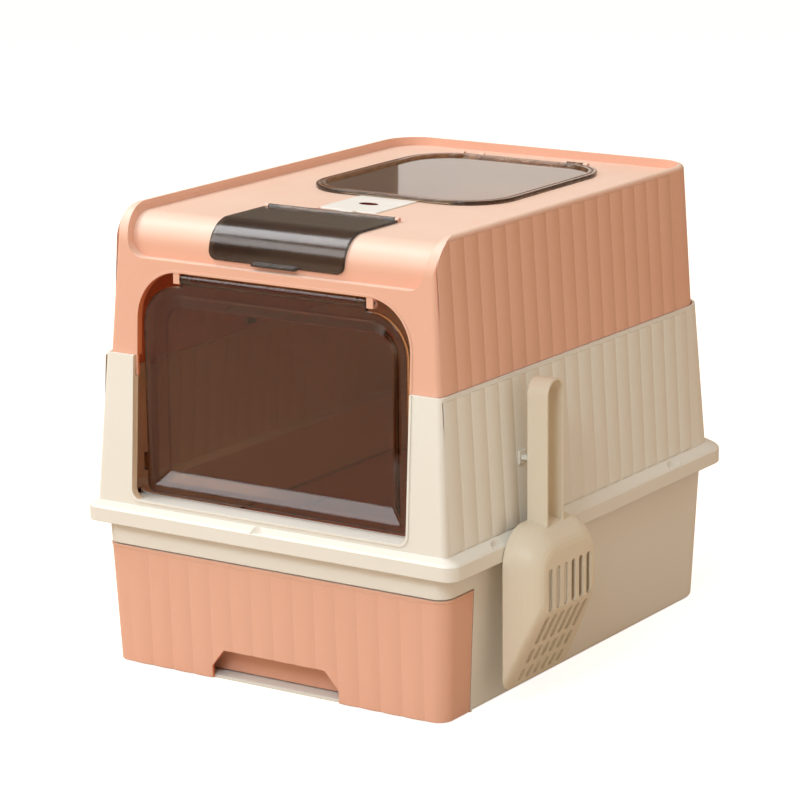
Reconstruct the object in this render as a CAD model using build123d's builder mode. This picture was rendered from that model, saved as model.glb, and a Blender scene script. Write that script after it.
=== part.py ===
from build123d import *
from dataclasses import dataclass, replace
from math import cos, pi, sin, sqrt
import os

# A drawer litter box: a tub with a pull-out tray, a middle frame and a roof that lift off, a swinging
# front door, a storage lid, a top hatch with its slide catch, and a scoop on a hook.
# Millimetres. X is to the right, the front looks to -Y, Z is up; the origin is the middle of the footprint.

# ---------------------------------------------------------------- driving dimensions
# tub
BASE_WIDTH = 368.4
BASE_DEPTH = 489.6
BASE_TOP = 151.1
BASE_RIM = 6.5
BASE_LEAN = 0.040
BASE_WALL = 2.6
BASE_FLOOR = 3.0
BASE_FRONT_RADIUS = 14.0
BASE_REAR_RADIUS = 38.0
BASE_FOOT_RADIUS = 4.0
RUNNER_HEIGHT = 1.2
RUNNER_WIDTH = 6.0
RUNNER_SPACING = 220.0

# drawer
DRAWER_BOTTOM = 1.0
DRAWER_TOP = 116.0
DRAWER_RETURN = 43.0
DRAWER_WALL = 2.6
DRAWER_GAP = 1.2
BEAD_HEIGHT = 2.4
BEAD_PROUD = 0.6
NOTCH_WIDTH = 142.0
NOTCH_TOP_WIDTH = 114.0
NOTCH_HEIGHT = 30.0
NOTCH_LEG = 13.0
TRAY_TOP = 103.0
TRAY_WALL = 2.4
TRAY_LIP = 3.4
TRAY_LEAN = 0.040
TRAY_SIDE_ROOM = 4.0
TRAY_REAR_ROOM = 14.0
TRAY_RADIUS = 24.0
FINGER_DEPTH = 20.0
FINGER_SHELF_WIDTH = 300.0

# middle frame
MID_BOTTOM = 159.0
MID_TOP = 300.0
MID_WIDTH = 387.4
MID_DEPTH = 511.2
MID_LEAN = 0.060
MID_WALL = 2.8
MID_FRONT_RADIUS = 5.0
MID_REAR_RADIUS = 41.0
FLANGE_WIDTH = 410.0
FLANGE_DEPTH = 522.0
FLANGE_BOTTOM = 139.0
FLANGE_EDGE = 154.0
FLANGE_WALL = 2.6
FLANGE_FRONT_RADIUS = 13.0
FLANGE_REAR_RADIUS = 36.0
FLANGE_ROUND = 2.0
FUNNEL_TOP = 165.0
FUNNEL_BOTTOM = 107.0
FUNNEL_WALL = 2.4
FUNNEL_SIDE_ROOM = 19.0
FUNNEL_END_ROOM = 22.0
FUNNEL_RADIUS = 30.0
SEAT_HEIGHT = 2.4
SEAT_WIDTH = 4.6

# roof
COVER_TOP = 437.5
COVER_SKIRT = 19.0
COVER_WALL = 2.6
COVER_LEAN = 0.066
COVER_FRONT_LEAN = 0.050
COVER_REAR_LEAN = 0.010
COVER_GAP = 0.4
COVER_FRONT_RADIUS = 5.0
COVER_REAR_RADIUS = 40.0
COVER_EDGE_ROUND = 4.0
NOSE_RADIUS = 36.0
PANEL_DEPTH = 8.5
PANEL_BOTTOM = 391.0
PANEL_RIM = 6.0
PANEL_FRONT_MARGIN = 17.0
PANEL_CORNER = 16.0

# front opening
OPENING_WIDTH = 304.0
OPENING_BOTTOM = 165.0
OPENING_TOP = 381.0
OPENING_TOP_RADIUS = 46.0
OPENING_LOW_RADIUS = 10.0
OPENING_STEP = 2.0
LIP_WIDTH = 2.4
LIP_PROUD = 0.8
LIP_DEPTH = 7.0

# flutes
FLUTE_PITCH = 23.4
FLUTE_RISE = 0.9
FLUTE_RISE_MID = 0.6

# front door
DOOR_SIDE_GAP = 6.0
DOOR_LOW_GAP = 4.5
DOOR_TOP_GAP = 13.0
DOOR_RIM = 7.0
DOOR_THICKNESS = 4.0
DOOR_BEVEL = 14.0
DOOR_RECESS = 8.0
DOOR_SKIN = 2.2
DOOR_BARREL_RADIUS = 4.6
DOOR_BARREL_LENGTH = 204.0
DOOR_TAB_HEIGHT = 17.0
DOOR_TAB_WIDTH = 4.4
EAR_WIDTH = 7.0

# hinge pins
PIN_RADIUS = 2.0
PIN_FIT = 0.05
PIN_RUNNING_FIT = 0.10
PIN_REACH = 12.0
SMALL_PIN_RADIUS = 1.0
SMALL_BARREL_RADIUS = 2.4
SMALL_EAR_WIDTH = 3.7
LUG_WIDTH = 5.0

# storage lid and bin
VISOR_WIDTH = 148.0
VISOR_REAR = -142.0
VISOR_BOTTOM = 396.0
VISOR_THICKNESS = 2.0
VISOR_LIFT = 0.4
VISOR_OVERLAP = 4.0
VISOR_CORNER = 8.0
PULL_WIDTH = 48.0
PULL_REACH = 4.5
PULL_HEIGHT = 3.0
BIN_WALL = 2.0
BIN_BOTTOM = 392.5

# top hatch
HATCH_WIDTH = 216.0
HATCH_LENGTH = 242.0
HATCH_FRONT = -47.0
HATCH_RADIUS = 52.0
HATCH_RIM = 9.0
HATCH_HEIGHT = 4.0
HATCH_PANE = 1.8
HATCH_OVERLAP = 10.0
HATCH_PLUG = 2.0
HATCH_PLUG_WALL = 2.0
HATCH_PLUG_GAP = 1.0
HATCH_GROOVE = 1.2
HATCH_HINGE_SPACING = 120.0
HATCH_KNUCKLE = 18.0

# slide catch
LATCH_WIDTH = 64.0
LATCH_LENGTH = 68.0
LATCH_THICKNESS = 1.8
LATCH_SINK = 1.0
LATCH_TRAVEL = 6.0
LATCH_TAB_WIDTH = 16.0
LATCH_HOLE_WIDTH = 20.0
LATCH_HOLE_LENGTH = 11.0
LATCH_STEM_SPACING = 44.0
LATCH_STEM_WIDTH = 6.0
LATCH_STEM_LENGTH = 14.0
KEEPER_THICKNESS = 2.0

# scoop and its hook
SCOOP_Y = -122.0
SCOOP_INNER_X = 205.8
SCOOP_WALL = 2.0
HANDLE_WIDTH = 30.0
HANDLE_DEPTH = 21.0
HANDLE_TOP = 299.0
HANDLE_FOOT = 140.0
BOWL_WIDTH = 116.0
BOWL_TOP = 168.0
BOWL_BOTTOM = 16.0
BOWL_DEPTH = 36.0
BOWL_TOP_RADIUS = 34.0
BOWL_TIP_RADIUS = 12.0
CROWN_WIDTH = 84.0
CROWN_TOP = 146.0
CROWN_BOTTOM = 92.0
CROWN_RADIUS = 20.0
BOWL_STEPS = 8
# height of the middle and length of each row of slots
SLOT_COUNT = 6
SLOT_PITCH = 13.4
SLOT_WIDTH = 7.4
SLOT_ROWS = ((112.0, 40.0), (73.0, 28.0), (47.0, 15.0), (28.0, 13.0))
HOOK_Z = 222.0
HOOK_WIDTH = 6.0
HOOK_THICKNESS = 4.0
HOOK_PLATE = 12.0
HOOK_PLATE_THICKNESS = 1.6

# thumb notches in the flange, and the catches inside the roof
THUMB_RADIUS = 13.0
THUMB_OFFSET = 4.0
THUMB_FLOOR = 153.2
THUMB_FRONT_Y = -180.0
THUMB_REAR_Y = 147.0
FRONT_THUMB_RADIUS = 7.0
FRONT_THUMB_X = -8.0
FRONT_THUMB_OFFSET = 2.0
FRONT_THUMB_FLOOR = 152.4
COVER_CATCH_Y = -24.0
COVER_CATCH_Z = 292.0
COVER_CATCH_SIZE = 12.0
COVER_CATCH_THICKNESS = 3.0

# gaps
MOVING_GAP = 0.3
SEAT_GAP = 0.3


# ---------------------------------------------------------------- shared shapes
@dataclass
class Taper:
    """A body with a rounded rectangular plan whose walls lean inwards as they rise."""

    level: float
    width: float
    depth: float
    side_lean: float
    front_lean: float
    rear_lean: float
    front_radius: float
    rear_radius: float

    def half_width(self, z):
        return self.width / 2 - self.side_lean * (z - self.level)

    def front(self, z):
        return -self.depth / 2 + self.front_lean * (z - self.level)

    def rear(self, z):
        return self.depth / 2 - self.rear_lean * (z - self.level)

    def section(self, z, inset=0.0):
        """The plan at height z, drawn in by inset."""
        front = self.front(z) + inset
        rear = self.rear(z) - inset
        with BuildSketch(Plane.XY.offset(z)) as plan:
            with Locations((0, (front + rear) / 2)):
                Rectangle(2 * (self.half_width(z) - inset), rear - front)
            fillet(plan.vertices().group_by(Axis.Y)[0], max(self.front_radius - inset, 1.0))
            fillet(plan.vertices().group_by(Axis.Y)[-1], max(self.rear_radius - inset, 1.0))
        return plan.sketch

    def block(self, low, high, inset=0.0):
        """The body between two heights, drawn in by inset."""
        with BuildPart() as solid:
            loft(sections=[self.section(low, inset), self.section(high, inset)])
        return solid.part

    def ring(self, low, high, outer_inset, inner_inset):
        """The wall between two insets of the plan."""
        inner = self.block(low - 1, high + 1, inner_inset)
        with BuildPart() as wall:
            add(self.block(low, high, outer_inset))
            add(inner, mode=Mode.SUBTRACT)
        return wall.part


def slab(low, high):
    """A box between two corners."""
    with BuildPart() as box:
        with Locations(tuple((a + b) / 2 for a, b in zip(low, high))):
            Box(*(b - a for a, b in zip(low, high)))
    return box.part


def rod_x(radius, start, end, y, z):
    """A round bar along X."""
    with BuildPart() as rod:
        with Locations(((start + end) / 2, y, z)):
            Cylinder(radius, end - start, rotation=(0, 90, 0))
    return rod.part


def front_frame(width, bottom, top, low_radius, top_radius):
    """A rounded outline on the XZ plane, seen from the front."""
    with BuildSketch(Plane.XZ) as frame:
        with Locations((0, (bottom + top) / 2)):
            Rectangle(width, top - bottom)
        fillet(frame.vertices().group_by(Axis.Y)[0], low_radius)
        fillet(frame.vertices().group_by(Axis.Y)[-1], top_radius)
    return frame.sketch


def through_front(outline, near, far):
    """An outline on the XZ plane pushed from y = near to y = far."""
    with BuildPart() as plug:
        extrude(outline.moved(Location((0, near, 0))), amount=far - near, dir=(0, 1, 0))
    return plug.part


def flutes(taper, low, high, rise, side_start, side_count, rear_count):
    """Shallow rounded flutes up both side walls and the rear wall."""
    strips = []
    for side in (-1, 1):
        lean = Vector(-side * taper.side_lean, 0, 1)
        for index in range(side_count):
            foot = Vector(side * taper.half_width(low), side_start + (index + 0.5) * FLUTE_PITCH, low)
            wall = Plane(origin=foot, x_dir=(0, side, 0), z_dir=lean)
            strips.append(flute(wall, (high - low) * lean.length, rise))
    lean = Vector(0, -taper.rear_lean, 1)
    for index in range(rear_count):
        across = (index - (rear_count - 1) / 2) * FLUTE_PITCH
        wall = Plane(origin=(across, taper.rear(low), low), x_dir=(-1, 0, 0), z_dir=lean)
        strips.append(flute(wall, (high - low) * lean.length, rise))
    return strips


def flute(wall, length, rise):
    """One flute: a flat arc on the wall, drawn along the wall's slope."""
    with BuildPart() as strip:
        with BuildSketch(wall):
            with BuildLine():
                ThreePointArc((-FLUTE_PITCH / 2, 0), (0, -rise), (FLUTE_PITCH / 2, 0))
                Line((FLUTE_PITCH / 2, 0), (-FLUTE_PITCH / 2, 0))
            make_face()
        extrude(amount=length)
    return strip.part


def finish(part, name):
    """Names a finished piece and writes it."""
    part.label = name
    export_step(part, f"parts/{name}.step")
    print(f"{name:18s} {len(part.solids())} solids {part.volume / 1000:9.2f} cm3 valid {part.is_valid}")


os.makedirs("parts", exist_ok=True)

tub = Taper(0, BASE_WIDTH, BASE_DEPTH, -BASE_LEAN, -BASE_LEAN, -BASE_LEAN, BASE_FRONT_RADIUS, BASE_REAR_RADIUS)
middle = Taper(
    MID_BOTTOM, MID_WIDTH, MID_DEPTH, MID_LEAN, MID_LEAN, MID_LEAN, MID_FRONT_RADIUS, MID_REAR_RADIUS
)
flange = Taper(
    FLANGE_EDGE, FLANGE_WIDTH, FLANGE_DEPTH, 0, 0, 0, FLANGE_FRONT_RADIUS, FLANGE_REAR_RADIUS
)
roof = Taper(
    MID_TOP,
    2 * (middle.half_width(MID_TOP) - MID_WALL - COVER_GAP),
    middle.rear(MID_TOP) - middle.front(MID_TOP) - 2 * (MID_WALL + COVER_GAP),
    COVER_LEAN,
    COVER_FRONT_LEAN,
    COVER_REAR_LEAN,
    COVER_FRONT_RADIUS,
    COVER_REAR_RADIUS,
)
skirt = replace(roof, side_lean=0, front_lean=0, rear_lean=0)

# ---------------------------------------------------------------- tub
RETURN_Y = tub.front(0) + DRAWER_RETURN
BEAM_BOTTOM = DRAWER_TOP + DRAWER_GAP + 0.3
LINER = DRAWER_WALL + DRAWER_GAP
TRAY_FLOOR = BASE_FLOOR + RUNNER_HEIGHT + SEAT_GAP
TRAY_HALF = tub.half_width(0) - LINER - BASE_WALL - TRAY_SIDE_ROOM
FAR = 1000.0

front_zone = slab((-FAR, -FAR, -FAR), (FAR, RETURN_Y + DRAWER_GAP, BEAM_BOTTOM))
liner_zone = slab((-FAR, -FAR, 0), (FAR, RETURN_Y + DRAWER_GAP + BASE_WALL, BEAM_BOTTOM + BASE_WALL))
with BuildPart() as front_liner:
    add(tub.ring(0, BEAM_BOTTOM + BASE_WALL, 0, LINER + BASE_WALL))
    add(liner_zone, mode=Mode.INTERSECT)
with BuildPart() as front_relief:
    add(tub.ring(-1, BEAM_BOTTOM, -BASE_WALL, LINER))
    add(front_zone, mode=Mode.INTERSECT)
tray_way = tub.block(BASE_FLOOR, TRAY_TOP + 5, LINER + BASE_WALL + 0.2)
with BuildPart() as base_tub:
    add(tub.block(0, BASE_TOP))
    fillet(base_tub.edges().group_by(Axis.Z)[0], BASE_FOOT_RADIUS)
    add(tub.block(BASE_FLOOR, BASE_TOP + 1, BASE_WALL), mode=Mode.SUBTRACT)
    add(tub.ring(BASE_TOP - BASE_WALL, BASE_TOP, -BASE_RIM, BASE_WALL / 2))
    add(front_liner.part)
    add(front_relief.part, mode=Mode.SUBTRACT)
    add(tray_way.moved(Location((0, -DRAWER_RETURN, 0))), mode=Mode.SUBTRACT)
    runner_length = tub.rear(0) - tub.front(0) - 3 * BASE_REAR_RADIUS
    with Locations((0, 0, BASE_FLOOR + RUNNER_HEIGHT / 2)):
        with GridLocations(RUNNER_SPACING, 0, 2, 1):
            Box(RUNNER_WIDTH, runner_length, RUNNER_HEIGHT)
finish(base_tub.part, "base_tub")

# ---------------------------------------------------------------- drawer
PANEL_BACK = tub.front(TRAY_TOP) + DRAWER_WALL
TRAY_FRONT = PANEL_BACK + FINGER_DEPTH
TRAY_REAR = tub.rear(0) - BASE_WALL - TRAY_REAR_ROOM
tray = Taper(
    TRAY_FLOOR, 2 * TRAY_HALF, TRAY_REAR - TRAY_FRONT, -TRAY_LEAN, -TRAY_LEAN, -TRAY_LEAN, TRAY_RADIUS, TRAY_RADIUS
)
TRAY_SHIFT = Location((0, (TRAY_FRONT + TRAY_REAR) / 2, 0))
shelf_top = TRAY_TOP
shelf_bottom = TRAY_TOP - TRAY_WALL
with BuildPart() as drawer_tray:
    add(tray.block(TRAY_FLOOR, TRAY_TOP))
    add(tray.ring(shelf_bottom, TRAY_TOP, -TRAY_LIP, TRAY_WALL))
    add(tray.block(TRAY_FLOOR + TRAY_WALL, TRAY_TOP + 1, TRAY_WALL), mode=Mode.SUBTRACT)
finger_shelf = slab(
    (-FINGER_SHELF_WIDTH / 2, PANEL_BACK + SEAT_GAP, shelf_bottom),
    (FINGER_SHELF_WIDTH / 2, TRAY_FRONT - TRAY_LEAN * (TRAY_TOP - TRAY_FLOOR), shelf_top),
)
with BuildPart() as drawer_tray_joined:
    add(drawer_tray.part.moved(TRAY_SHIFT))
    add(finger_shelf)
finish(drawer_tray_joined.part, "drawer_tray")

drawer_zone = slab((-FAR, -FAR, DRAWER_BOTTOM), (FAR, RETURN_Y, DRAWER_TOP))
with BuildPart() as bead:
    add(tub.ring(DRAWER_TOP - BEAD_HEIGHT, DRAWER_TOP, -BEAD_PROUD, DRAWER_WALL))
    add(drawer_zone, mode=Mode.INTERSECT)
with BuildSketch(Plane.XZ) as notch:
    with BuildLine():
        Polyline(
            (-NOTCH_WIDTH / 2, -1),
            (-NOTCH_WIDTH / 2, NOTCH_LEG),
            (-NOTCH_TOP_WIDTH / 2, NOTCH_HEIGHT),
            (NOTCH_TOP_WIDTH / 2, NOTCH_HEIGHT),
            (NOTCH_WIDTH / 2, NOTCH_LEG),
            (NOTCH_WIDTH / 2, -1),
            close=True,
        )
    make_face()
    fillet(notch.vertices().filter_by(lambda v: v.Y > 0), 3)
drawer_flute_count = int((BASE_WIDTH - 2 * BASE_FRONT_RADIUS) / FLUTE_PITCH)
front_lean = Vector(0, -BASE_LEAN, 1)
with BuildPart() as drawer_front:
    add(tub.ring(DRAWER_BOTTOM, DRAWER_TOP, 0, DRAWER_WALL))
    add(drawer_zone, mode=Mode.INTERSECT)
    add(bead.part)
    for index in range(drawer_flute_count):
        across = (index - (drawer_flute_count - 1) / 2) * FLUTE_PITCH
        foot = Plane(origin=(across, tub.front(DRAWER_BOTTOM), DRAWER_BOTTOM), x_dir=(1, 0, 0), z_dir=front_lean)
        add(flute(foot, DRAWER_TOP - BEAD_HEIGHT - DRAWER_BOTTOM, FLUTE_RISE))
    add(through_front(notch.sketch, -FAR, 0), mode=Mode.SUBTRACT)
shelf_rest = slab(
    (-FINGER_SHELF_WIDTH / 2, tub.front(shelf_bottom) + DRAWER_WALL / 2, shelf_bottom - SEAT_GAP - TRAY_WALL),
    (FINGER_SHELF_WIDTH / 2, PANEL_BACK + FINGER_DEPTH / 3, shelf_bottom - SEAT_GAP),
)
with BuildPart() as drawer_front_joined:
    add(drawer_front.part)
    add(shelf_rest)
finish(drawer_front_joined.part, "drawer_front")

# ---------------------------------------------------------------- middle frame
SEAT_TOP = MID_TOP - COVER_SKIRT - SEAT_GAP
FUNNEL_HALF = middle.half_width(FUNNEL_TOP) - FUNNEL_SIDE_ROOM
FUNNEL_DEPTH = middle.rear(FUNNEL_TOP) - middle.front(FUNNEL_TOP) - 2 * FUNNEL_END_ROOM
funnel = Taper(FUNNEL_TOP, 2 * FUNNEL_HALF, FUNNEL_DEPTH, 0, 0, 0, FUNNEL_RADIUS, FUNNEL_RADIUS)
opening_low = front_frame(
    OPENING_WIDTH, OPENING_BOTTOM, OPENING_TOP, OPENING_LOW_RADIUS, OPENING_TOP_RADIUS
)
with BuildPart() as flange_collar:
    loft(sections=[flange.section(FLANGE_EDGE, FLANGE_ROUND), middle.section(MID_BOTTOM, -0.5)])
with BuildPart() as flange_shoulder:
    loft(
        sections=[flange.section(FLANGE_EDGE - FLANGE_ROUND, 0), flange.section(FLANGE_EDGE, FLANGE_ROUND)]
    )
mid_lip_frame = front_frame(
    OPENING_WIDTH + 2 * LIP_WIDTH, OPENING_BOTTOM - LIP_WIDTH, OPENING_TOP, OPENING_LOW_RADIUS, OPENING_TOP_RADIUS
)
with BuildPart() as mid_lip:
    add(middle.ring(MID_BOTTOM, SEAT_TOP, -LIP_PROUD, LIP_DEPTH))
    add(middle.ring(SEAT_TOP, MID_TOP, -LIP_PROUD, MID_WALL))
    add(through_front(mid_lip_frame, -FAR, 0), mode=Mode.INTERSECT)
with BuildPart() as mid_frame:
    add(flange.block(FLANGE_BOTTOM, FLANGE_EDGE - FLANGE_ROUND))
    add(flange_shoulder.part)
    add(flange_collar.part)
    add(flange.block(FLANGE_BOTTOM - 1, FLANGE_EDGE - FLANGE_WALL, FLANGE_WALL), mode=Mode.SUBTRACT)
    add(middle.block(FLANGE_EDGE - FLANGE_WALL, MID_TOP))
    add(middle.block(FLANGE_BOTTOM, MID_TOP + 1, MID_WALL), mode=Mode.SUBTRACT)
    add(middle.ring(SEAT_TOP - SEAT_HEIGHT, SEAT_TOP, MID_WALL / 2, MID_WALL + SEAT_WIDTH))
    add(middle.ring(FUNNEL_TOP - FUNNEL_WALL, FUNNEL_TOP, MID_WALL / 2, FUNNEL_SIDE_ROOM + FUNNEL_WALL / 2))
    add(funnel.ring(FUNNEL_BOTTOM, FUNNEL_TOP, 0, FUNNEL_WALL))
    add(mid_lip.part)
    flute_start = middle.front(MID_BOTTOM) + MID_FRONT_RADIUS + 4
    flute_run = middle.rear(MID_TOP) - MID_REAR_RADIUS - flute_start
    side_flutes = int(flute_run / FLUTE_PITCH)
    rear_flutes = int(2 * (middle.half_width(MID_TOP) - MID_REAR_RADIUS) / FLUTE_PITCH)
    add(flutes(middle, MID_BOTTOM + 1, MID_TOP - 3, FLUTE_RISE_MID, flute_start, side_flutes, rear_flutes))
    add(through_front(opening_low, -FAR, -FAR / 10), mode=Mode.SUBTRACT)
    thumb_x = FLANGE_WIDTH / 2 + THUMB_OFFSET
    thumb_spots = [
        (side * thumb_x, spot, THUMB_FLOOR) for side in (-1, 1) for spot in (THUMB_FRONT_Y, THUMB_REAR_Y)
    ]
    with Locations(thumb_spots):
        Cylinder(
            THUMB_RADIUS,
            THUMB_RADIUS,
            align=(Align.CENTER, Align.CENTER, Align.MIN),
            mode=Mode.SUBTRACT,
        )
    with Locations((FRONT_THUMB_X, flange.front(FLANGE_EDGE) - FRONT_THUMB_OFFSET, FRONT_THUMB_FLOOR)):
        Cylinder(
            FRONT_THUMB_RADIUS,
            FRONT_THUMB_RADIUS,
            align=(Align.CENTER, Align.CENTER, Align.MIN),
            mode=Mode.SUBTRACT,
        )
finish(mid_frame.part, "mid_frame")

# ---------------------------------------------------------------- scoop and its hook
hook_wall = middle.half_width(HOOK_Z - HOOK_PLATE / 2) + FLUTE_RISE_MID
hook_start = hook_wall - MID_LEAN * HOOK_PLATE
hook_end = SCOOP_INNER_X + SCOOP_WALL + 2 * SCOOP_WALL
hook_zone = slab(
    (0, SCOOP_Y - HOOK_PLATE / 2, HOOK_Z - HOOK_PLATE / 2),
    (hook_wall + HOOK_PLATE_THICKNESS, SCOOP_Y + HOOK_PLATE / 2, HOOK_Z + HOOK_PLATE / 2),
)
with BuildPart() as scoop_hook:
    add(middle.ring(MID_BOTTOM, MID_TOP, -2 * HOOK_PLATE_THICKNESS, -FLUTE_RISE_MID))
    add(hook_zone, mode=Mode.INTERSECT)
    add(
        slab(
            (hook_wall + HOOK_PLATE_THICKNESS / 2, SCOOP_Y - HOOK_WIDTH / 2, HOOK_Z - HOOK_THICKNESS / 2),
            (hook_end, SCOOP_Y + HOOK_WIDTH / 2, HOOK_Z + HOOK_THICKNESS / 2),
        )
    )
finish(scoop_hook.part, "scoop_hook")


def bowl_body(inset):
    """The scoop's bowl, drawn in by inset; it is deepest below the handle."""
    outlines = []
    for step in range(BOWL_STEPS + 1):
        out = sin(pi / 2 * step / BOWL_STEPS)
        turn = 1 - cos(pi / 2 * step / BOWL_STEPS)
        width = BOWL_WIDTH + turn * (CROWN_WIDTH - BOWL_WIDTH)
        high = BOWL_TOP + turn * (CROWN_TOP - BOWL_TOP)
        low = BOWL_BOTTOM + out * (CROWN_BOTTOM - BOWL_BOTTOM)
        radius = BOWL_TOP_RADIUS + turn * (CROWN_RADIUS - BOWL_TOP_RADIUS)
        with BuildSketch(Plane.YZ.offset(SCOOP_INNER_X + out * BOWL_DEPTH - inset)) as outline:
            with Locations((SCOOP_Y, (low + high) / 2)):
                Rectangle(width - 2 * inset, high - low - 2 * inset)
            fillet(outline.vertices().group_by(Axis.Y)[0], BOWL_TIP_RADIUS - inset)
            fillet(outline.vertices().group_by(Axis.Y)[-1], radius - inset)
        outlines.append(outline.sketch)
    with BuildPart() as body:
        loft(sections=outlines, ruled=True)
    return body.part


def handle_outline(x, inset):
    """The handle's arched outline at x, drawn in by inset."""
    arch_z = HANDLE_TOP - HANDLE_WIDTH / 2
    with BuildSketch(Plane.YZ.offset(x)) as outline:
        with Locations((SCOOP_Y, arch_z)):
            Circle(HANDLE_WIDTH / 2 - inset)
        with Locations((SCOOP_Y, (arch_z + HANDLE_FOOT) / 2)):
            Rectangle(HANDLE_WIDTH - 2 * inset, arch_z - HANDLE_FOOT)
    return outline.sketch


with BuildPart() as scoop:
    extrude(handle_outline(SCOOP_INNER_X, 0), amount=HANDLE_DEPTH)
    extrude(handle_outline(SCOOP_INNER_X + SCOOP_WALL, SCOOP_WALL), amount=HANDLE_DEPTH, mode=Mode.SUBTRACT)
    add(bowl_body(0))
    add(bowl_body(SCOOP_WALL), mode=Mode.SUBTRACT)
    with Locations((SCOOP_INNER_X, SCOOP_Y, HOOK_Z)):
        Box(HANDLE_DEPTH, HOOK_WIDTH + 1, HOOK_THICKNESS + 1, mode=Mode.SUBTRACT)
    for level, height in SLOT_ROWS:
        with BuildSketch(Plane.YZ.offset(SCOOP_INNER_X - 1)):
            with Locations((SCOOP_Y, level)):
                with GridLocations(SLOT_PITCH, 0, SLOT_COUNT, 1):
                    SlotOverall(height, SLOT_WIDTH, rotation=90)
        extrude(amount=BOWL_DEPTH + 2, mode=Mode.SUBTRACT)
finish(scoop.part, "scoop")

# ---------------------------------------------------------------- roof
ROOF_BOTTOM = MID_TOP - COVER_SKIRT
PANEL_TOP = COVER_TOP - PANEL_DEPTH
slant = sqrt(1 + COVER_FRONT_LEAN**2)
NOSE_Z = COVER_TOP - NOSE_RADIUS
NOSE_Y = roof.front(NOSE_Z) + NOSE_RADIUS * slant
PANEL_RADIUS = NOSE_RADIUS - PANEL_DEPTH
LEDGE_Z = PANEL_BOTTOM - COVER_WALL


def nose_outside(radius):
    """What lies in front of and above a rounded roof edge of this radius."""
    with BuildPart() as outside:
        with BuildSketch(Plane.YZ):
            with BuildLine():
                Line((NOSE_Y - radius, NOSE_Z), (NOSE_Y - FAR, NOSE_Z))
                Line((NOSE_Y - FAR, NOSE_Z), (NOSE_Y - FAR, FAR))
                Line((NOSE_Y - FAR, FAR), (NOSE_Y, FAR))
                Line((NOSE_Y, FAR), (NOSE_Y, NOSE_Z + radius))
                RadiusArc((NOSE_Y, NOSE_Z + radius), (NOSE_Y - radius, NOSE_Z), -radius)
            make_face()
        extrude(amount=FAR, both=True)
    return outside.part


# the sunk panel runs over the top and down the nose
with BuildSketch(Plane.XZ) as panel_front:
    low_half = roof.half_width(PANEL_BOTTOM) - PANEL_FRONT_MARGIN
    high_half = roof.half_width(COVER_TOP) - PANEL_RIM
    with BuildLine():
        Polyline(
            (-low_half, PANEL_BOTTOM),
            (-high_half, COVER_TOP),
            (-high_half, FAR),
            (high_half, FAR),
            (high_half, COVER_TOP),
            (low_half, PANEL_BOTTOM),
            close=True,
        )
    make_face()
    fillet(panel_front.vertices().group_by(Axis.Y)[0], PANEL_CORNER)
with BuildPart() as panel_sink:
    with BuildSketch(Plane.XY.offset(PANEL_BOTTOM)) as panel_plan:
        rear = roof.rear(COVER_TOP) - PANEL_RIM
        with Locations((0, (rear - FAR) / 2)):
            Rectangle(2 * (roof.half_width(COVER_TOP) - PANEL_RIM), rear + FAR)
        fillet(panel_plan.vertices().group_by(Axis.Y)[-1], COVER_REAR_RADIUS - PANEL_RIM)
    extrude(amount=FAR)
    add(slab((-FAR, NOSE_Y, -FAR), (FAR, FAR, PANEL_TOP)), mode=Mode.SUBTRACT)
    with BuildSketch(Plane.YZ):
        with Locations((NOSE_Y, NOSE_Z)):
            Circle(PANEL_RADIUS)
    extrude(amount=FAR, both=True, mode=Mode.SUBTRACT)
    add(slab((-FAR, NOSE_Y - PANEL_RADIUS, -FAR), (FAR, FAR, NOSE_Z)), mode=Mode.SUBTRACT)
    add(through_front(panel_front.sketch, -FAR, FAR), mode=Mode.INTERSECT)

# the hollow under it
with BuildPart() as roof_hollow:
    add(roof.block(MID_TOP - 1, PANEL_TOP - COVER_WALL, COVER_WALL))
    add(slab((-FAR, -FAR, LEDGE_Z), (FAR, NOSE_Y, FAR)), mode=Mode.SUBTRACT)
with BuildPart() as nose_hollow:
    add(
        slab(
            (-low_half + COVER_WALL, NOSE_Y - PANEL_RADIUS + COVER_WALL, LEDGE_Z - 1),
            (low_half - COVER_WALL, NOSE_Y + 1, PANEL_TOP - COVER_WALL),
        )
    )
    add(nose_outside(PANEL_RADIUS - COVER_WALL), mode=Mode.SUBTRACT)

opening_high = front_frame(
    OPENING_WIDTH - 2 * OPENING_STEP, OPENING_BOTTOM, OPENING_TOP, OPENING_LOW_RADIUS, OPENING_TOP_RADIUS
)
roof_lip_frame = front_frame(
    OPENING_WIDTH - 2 * OPENING_STEP + 2 * LIP_WIDTH,
    OPENING_BOTTOM,
    OPENING_TOP + LIP_WIDTH,
    OPENING_LOW_RADIUS,
    OPENING_TOP_RADIUS + LIP_WIDTH,
)
with BuildPart() as roof_lip:
    add(roof.ring(MID_TOP, LEDGE_Z, -LIP_PROUD / 2, LIP_DEPTH))
    add(through_front(roof_lip_frame, -FAR, 0), mode=Mode.INTERSECT)

# hinge seats
BARREL_Z = OPENING_TOP - DOOR_BARREL_RADIUS - 1.0
BARREL_Y = roof.front(BARREL_Z) + DOOR_BARREL_RADIUS - 0.6
EAR_INNER = DOOR_BARREL_LENGTH / 2 + MOVING_GAP + 0.3
VISOR_AXIS_Y = VISOR_REAR
VISOR_AXIS_Z = PANEL_TOP + VISOR_LIFT + SMALL_BARREL_RADIUS - 0.6
HATCH_REAR = HATCH_FRONT + HATCH_LENGTH
HATCH_AXIS_Y = HATCH_REAR + SMALL_BARREL_RADIUS
HATCH_AXIS_Z = PANEL_TOP + MOVING_GAP + SMALL_BARREL_RADIUS
HATCH_MIDDLE = (HATCH_FRONT + HATCH_REAR) / 2

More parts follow.
